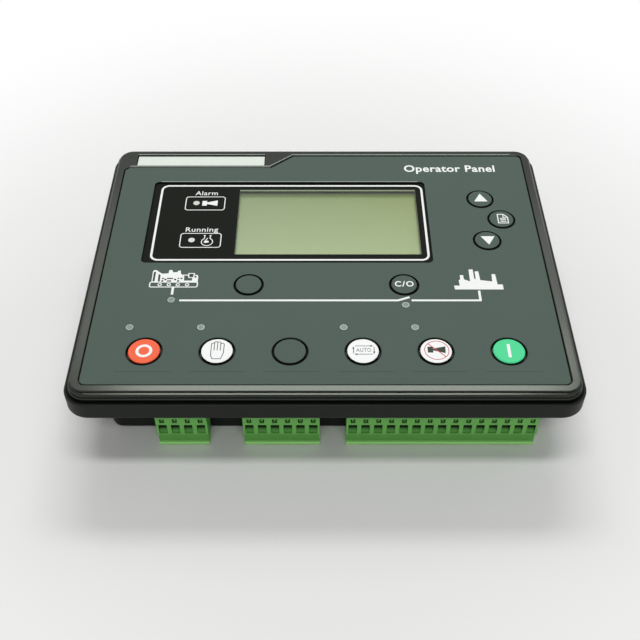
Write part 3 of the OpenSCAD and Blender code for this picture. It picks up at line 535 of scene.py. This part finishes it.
# Draws one legend around a middle and lays it on a height of the part. Shapes that overlap differ a little
# in height, so that no two of them share a plane.
def inkPiece(name, art, finish, body="case", middle=(0, 0), height=faceTop):
    bm = bmesh.new()
    for count, (draw, values) in enumerate(shapesOf(art)):
        before = set(bm.verts)
        draw(bm, *values)
        fresh = [vert for vert in bm.verts if vert not in before]
        bmesh.ops.translate(bm, verts=fresh, vec=(0, 0, count % layerSet["count"] * layerSet["step"]))
    bmesh.ops.recalc_face_normals(bm, faces=bm.faces)
    for face in bm.faces:
        face.smooth = False
        if face.normal.z < 0:
            face.normal_flip()
    bmesh.ops.translate(bm, verts=bm.verts, vec=(*middle, 0))
    place = Matrix.Translation((0, 0, height - inkSink)) @ Matrix.Scale(1 / mm, 4)
    bmesh.ops.transform(bm, matrix=place, verts=bm.verts)
    raised = bmesh.ops.extrude_face_region(bm, geom=list(bm.faces), use_keep_orig=True)
    lifted = [part for part in raised["geom"] if isinstance(part, bmesh.types.BMVert)]
    bmesh.ops.translate(bm, verts=lifted, vec=(0, 0, inkFilm))
    bmesh.ops.recalc_face_normals(bm, faces=bm.faces)
    mesh = bpy.data.meshes.new(name)
    bm.to_mesh(mesh)
    bm.free()
    mesh.materials.append(made[finish])
    piece = bpy.data.objects.new(name, mesh)
    bpy.context.scene.collection.objects.link(piece)
    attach(piece, body)


# Middle of a node seen from the front, in face millimetres
def middleOf(node):
    low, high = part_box(node)
    return ((low.x + high.x) / 2 * mm, (low.y + high.y) / 2 * mm)


# Supply line with the open switch, and the stems up to the two symbols
mimicLine = 0.98
mimicArt = {
    "bars": [
        ((-58.6, -25.4), (29.8, -25.4), mimicLine),
        ((29.5, -25.4), (34.3, -23.6), mimicLine),
        ((35.0, -25.4), (63.2, -25.4), mimicLine),
        ((62.8, -25.4), (62.8, -19.9), mimicLine),
        ((-61.9, -17.6), (-61.9, -22.1), 1.0),
    ],
}

# Works with chimneys
worksArt = {
    "fills": [
        [(52.9, -17.0), (53.1, -19.2), (72.9, -19.2), (72.9, -16.3), (70.8, -16.3), (70.5, -10.3),
         (69.0, -10.3), (68.8, -14.6), (64.0, -13.8), (63.7, -8.6), (62.2, -8.7), (62.2, -13.1),
         (61.6, -13.1), (61.5, -7.4), (59.8, -7.6), (59.7, -14.6), (57.3, -13.3), (57.2, -10.9),
         (55.8, -10.9), (55.8, -13.3), (55.1, -13.9), (55.2, -17.0)],
    ],
}

# Engine and generator on a wheeled skid: radiator with its shroud, engine block and generator with its box
gensetLine = 0.5
gensetArt = {
    "boxes": [(-71.6, -17.8, -52.1, -15.0, 0.6, gensetLine)],
    "arcs": [((x, -16.45), 0.63, 0.5) for x in (-67.5, -63.8, -60.1, -56.3)],
    "strokes": [
        ([(-58.3, -10.8), (-56.2, -10.9)], gensetLine),
        ([(-56.15, -9.95), (-53.85, -9.9), (-54.05, -12.25), (-55.95, -12.3), (-56.15, -9.95)], 0.5),
    ],
    "bars": [
        ((-58.28, -10.6), (-58.1, -14.6), 0.62),
        ((-58.5, -14.55), (-52.2, -14.55), 0.9),
    ],
    "fills": [
        [(-71.1, -15.0), (-71.15, -8.6), (-70.7, -7.9), (-69.8, -7.9), (-67.3, -10.0), (-66.9, -10.0),
         (-66.9, -15.0)],
        [(-67.4, -10.1), (-64.6, -9.8), (-64.5, -8.2), (-64.2, -7.85), (-63.4, -7.8), (-63.1, -8.1),
         (-62.8, -9.2), (-60.9, -9.1), (-60.8, -8.4), (-59.7, -8.1), (-59.4, -10.1), (-58.7, -10.7),
         (-58.3, -15.0), (-67.4, -15.0)],
        [(-54.5, -12.3), (-53.8, -12.2), (-53.4, -10.8), (-52.6, -10.7), (-52.1, -11.6), (-52.1, -15.0),
         (-54.6, -15.0)],
    ],
}

# Dark slots, bolts and ports over them
gensetMarks = {
    "bars": [
        ((-70.27, -9.0), (-70.28, -14.5), 0.85),
        ((-64.9, -12.85), (-62.4, -12.85), 0.68),
        ((-64.8, -14.35), (-63.0, -14.35), 0.74),
    ],
    "dots": [
        ((-65.5, -13.46), 0.48), ((-66.55, -12.85), 0.42), ((-66.68, -14.35), 0.5), ((-61.47, -13.46), 0.5),
        ((-60.17, -12.8), 0.38), ((-60.17, -14.35), 0.52), ((-58.96, -12.85), 0.45), ((-53.2, -11.9), 0.46),
    ] + [((x, -16.45), 0.42) for x in (-67.5, -63.8, -60.1, -56.3)],
    "fills": [
        [(-68.65, -10.1), (-67.75, -11.0), (-67.7, -14.65), (-68.5, -14.65)],
        [(-55.95, -10.15), (-54.1, -10.1), (-54.25, -12.05), (-55.75, -12.1)],
    ],
}

# Short faint rule under each key of the lower row
ruleSet = {"half": 10.8, "aside": 0.8, "below": 10.1, "width": 0.25}
lowerRow = ("stop", "manual", "spare", "auto", "mute", "start")
ruleArt = {"bars": []}
for key in lowerRow:
    x, y = middleOf("key_" + key)
    x += ruleSet["aside"]
    y -= ruleSet["below"]
    ruleArt["bars"].append(((x - ruleSet["half"], y), (x + ruleSet["half"], y), ruleSet["width"]))

# Painted highlight: a pale line along the far edge of the display opening, where the edge catches the light
maskLow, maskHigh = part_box("display_mask")
openingHighlightSet = {"out": 0.42, "in": 2.5, "width": 0.44}
openingHighlightY = maskHigh.y * mm + openingHighlightSet["out"]
openingHighlightEnds = ((maskLow.x * mm + openingHighlightSet["in"], openingHighlightY), (maskHigh.x * mm - openingHighlightSet["in"], openingHighlightY))
openingHighlightArt = {"bars": [(*openingHighlightEnds, openingHighlightSet["width"])]}

# Painted shade: a dark ring round each hole in the lower row and on the mimic line, where the gap round its
# key lies in shade, inside the collar of its key by the lap
holeShadeSet = {"lap": 0.75, "lower": 0.28, "mimic": 0.12}
holeShadeArt = {"arcs": []}
for key in lowerRow + ("open", "close"):
    low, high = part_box("key_" + key)
    hole = (high.x - low.x) / 2 * mm - holeShadeSet["lap"]
    width = holeShadeSet["lower" if key in lowerRow else "mimic"]
    holeShadeArt["arcs"].append((middleOf("key_" + key), hole + width / 2, width, 0, 360, 72))

# Painted highlight: a pale line on the edge of the bezel along the far side of the face and above the plate
bezelHighlightLine = 0.42
plateHighlightSet = {"left": 0.2, "above": 0.8}
plateLow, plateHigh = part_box("name_plate")
plateHighlightY = plateHigh.y * mm + plateHighlightSet["above"]
bezelHighlightArt = {
    "strokes": [
        ([(-89.6, 61.2), (-25.12, 61.2), (-14.75, 69.9), (87.0, 69.9)], bezelHighlightLine),
        ([(plateLow.x * mm - plateHighlightSet["left"], plateHighlightY), (plateHigh.x * mm, plateHighlightY)], bezelHighlightLine),
    ],
}

headingArt = {"words": [("Operator Panel", 37.0, 57.4, 78.9, 62.1, 0.022)]}

inkPiece("mimicLine", mimicArt, "inkWhite")
inkPiece("worksSymbol", worksArt, "inkWhite")
inkPiece("gensetSymbol", gensetArt, "inkWhite")
inkPiece("gensetMarks", gensetMarks, "inkDark", height=faceTop + inkFilm)
inkPiece("keyRules", ruleArt, "inkFaint")
inkPiece("headingWords", headingArt, "inkWhite")
inkPiece("openingHighlight", openingHighlightArt, "lensRimAndHighlight")
inkPiece("keyHoleShades", holeShadeArt, "paintedShadeBlack")
inkPiece("bezelHighlight", bezelHighlightArt, "lensRimAndHighlight", height=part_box("front_bezel")[1].z)

# Rim of each lamp lens, beside its key or on the mimic line
lampSet = {"aside": -7.2, "above": 12.5, "radius": 1.3, "width": 0.5,
           "onLine": [(-61.9, -25.1), (32.5, -27.9)]}
lampArt = {"arcs": [(place, lampSet["radius"], lampSet["width"]) for place in lampSet["onLine"]]}
for key in ("stop", "manual", "auto", "mute"):
    x, y = middleOf("key_" + key)
    place = (x + lampSet["aside"], y + lampSet["above"])
    lampArt["arcs"].append((place, lampSet["radius"], lampSet["width"]))
inkPiece("lampRims", lampArt, "lensRimAndHighlight", height=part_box("indicator_lamps")[1].z)
print("face legends drawn")

displayLine = 0.95
outlineArt = {"boxes": [(-73.32, -0.88, 44.05, 48.02, 3.0, displayLine)]}

# Horn in a box, with the word over it
boxLine = 0.4
alarmArt = {
    "boxes": [(-61.85, 31.25, -44.45, 40.25, 1.3, boxLine)],
    "words": [("Alarm", -58.1, 41.5, -48.0, 44.2, 0.008)],
    "fills": [
        [(-54.5, 37.4), (-54.5, 34.2), (-52.4, 34.2), (-52.4, 37.4)],
        [(-52.4, 36.4), (-52.4, 35.3), (-47.7, 34.1), (-47.7, 37.8)],
    ],
}

# Round flask with a neck and a stirrer in a box, with the word over it
runningArt = {
    "boxes": [(-61.95, 6.85, -44.55, 15.75, 1.3, boxLine)],
    "words": [("Running", -60.2, 16.9, -46.1, 19.6, 0.008)],
    "arcs": [((-50.4, 10.35), 2.4, boxLine, 120, 300, 36)],
    "bars": [
        ((-51.6, 12.35), (-51.6, 14.6), boxLine),
        ((-49.2, 12.35), (-49.2, 14.6), boxLine),
        ((-52.1, 14.4), (-51.2, 14.4), boxLine),
        ((-49.6, 14.4), (-48.7, 14.4), boxLine),
        ((-51.6, 10.2), (-50.2, 12.8), boxLine),
    ],
    "fills": [[(-51.9, 10.2), (-51.2, 9.6), (-49.6, 10.0), (-49.8, 11.0), (-50.8, 11.1)]],
}

# Lenses of the two display lamps
lensSet = {"x": -57.1, "alarm": 35.95, "running": 11.45, "radius": 1.4, "proud": 0.00005}
alarmLens = {"dots": [((lensSet["x"], lensSet["alarm"]), lensSet["radius"])]}
runningLens = {"dots": [((lensSet["x"], lensSet["running"]), lensSet["radius"])]}

inkPiece("displayOutline", outlineArt, "inkWhite", height=maskTop)
inkPiece("alarmLegend", alarmArt, "inkWhite", height=maskTop)
inkPiece("runningLegend", runningArt, "inkWhite", height=maskTop)
inkPiece("alarmLens", alarmLens, "lensAlarm", height=maskTop + lensSet["proud"])
inkPiece("runningLens", runningLens, "lensRunning", height=maskTop + lensSet["proud"])
print("display legends drawn")


# A legend on a key rides with it, and is drawn around the key's middle. One over another is lifted.
def keyPiece(name, key, art, finish, lift=0.0):
    node = "key_" + key
    inkPiece(name, art, finish, key + "_key", middleOf(node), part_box(node)[1].z + lift)


stopArt = {"arcs": [((0, 0), 2.65, 1.15)]}

# Open hand: palm, and four fingers with round tips
handLine = 0.32
palm = [(-2.3, 2.6), (-2.3, -2.3), (-1.6, -4.0), (1.6, -4.0), (2.5, -1.3), (2.6, 2.6)]
fingers = ((-2.3, -1.15, 3.4), (-1.15, 0.05, 4.1), (0.05, 1.25, 4.0), (1.25, 2.6, 3.2))
handArt = {"strokes": [(palm, handLine)], "arcs": [], "bars": []}
for left, right, top in fingers:
    handArt["arcs"].append((((left + right) / 2, top), (right - left) / 2, handLine, 0, 180, 14))
    handArt["bars"] += [((x, top), (x, 2.4), handLine) for x in (left, right)]
handArt["bars"] += [((right, 2.6), (right, 0.2), handLine) for left, right, top in fingers[:-1]]

# Word in a ring of four arrows
autoLine = 0.3
autoArt = {
    "words": [("AUTO", -2.6, -0.5, 3.1, 1.4, 0.0)],
    "bars": [
        ((-3.1, 2.5), (3.2, 2.5), autoLine),
        ((-2.6, -1.7), (3.8, -1.7), autoLine),
        ((-3.65, -1.3), (-3.65, 1.6), autoLine),
        ((4.25, -0.9), (4.25, 2.0), autoLine),
    ],
    "fills": [
        [(4.0, 2.5), (2.8, 3.0), (2.8, 2.0)],
        [(-3.4, -1.7), (-2.2, -2.2), (-2.2, -1.2)],
        [(-3.65, 2.3), (-4.1, 1.1), (-3.2, 1.1)],
        [(4.25, -1.6), (3.75, -0.4), (4.75, -0.4)],
    ],
}

hornArt = {
    "fills": [
        [(-3.2, 2.1), (-3.2, -0.9), (-1.1, -0.9), (-1.1, 2.1)],
        [(-1.1, 1.1), (-1.1, 0.2), (3.6, -1.2), (3.7, 2.3)],
    ],
}
banArt = {"arcs": [((0.3, 0.3), 4.65, 0.3, 0, 360, 64)], "bars": [((-2.9, 3.6), (3.6, -3.0), 0.36)]}
startArt = {"bars": [((0, -3.3), (0, 3.4), 1.2)]}
changeArt = {"words": [("C/O", -3.8, -1.2, 3.9, 1.8, 0.02, 1.18)]}
upArt = {"fills": [[(-2.8, -1.9), (3.2, -1.9), (0.2, 3.5)]]}
downArt = {"fills": [[(-2.6, 2.4), (0.5, -2.9), (3.4, 2.4)]]}
pageLine = 0.5
pageArt = {
    "strokes": [
        ([(-1.5, 3.0), (1.1, 3.0), (2.8, 1.1), (2.8, -2.7), (-1.5, -2.7), (-1.5, 3.0)], pageLine),
        ([(0.9, 2.8), (0.9, 1.1), (2.6, 1.1)], 0.35),
    ],
    "bars": [((-0.6, y), (2.0, y), pageLine) for y in (0.4, -0.6, -1.6)],
}

keyPiece("stopRing", "stop", stopArt, "inkWhite")
keyPiece("handOutline", "manual", handArt, "inkGrey")
keyPiece("autoLegend", "auto", autoArt, "inkGrey")
keyPiece("hornSymbol", "mute", hornArt, "inkDark")
keyPiece("banRing", "mute", banArt, "inkRed", inkSink / 2)
keyPiece("startBar", "start", startArt, "inkWhite")
keyPiece("changeOverLegend", "close", changeArt, "inkWhite")
keyPiece("upArrow", "up", upArt, "inkWhite")
keyPiece("downArrow", "down", downArt, "inkWhite")
keyPiece("pageSymbol", "page", pageArt, "inkWhite")
print("key legends drawn")
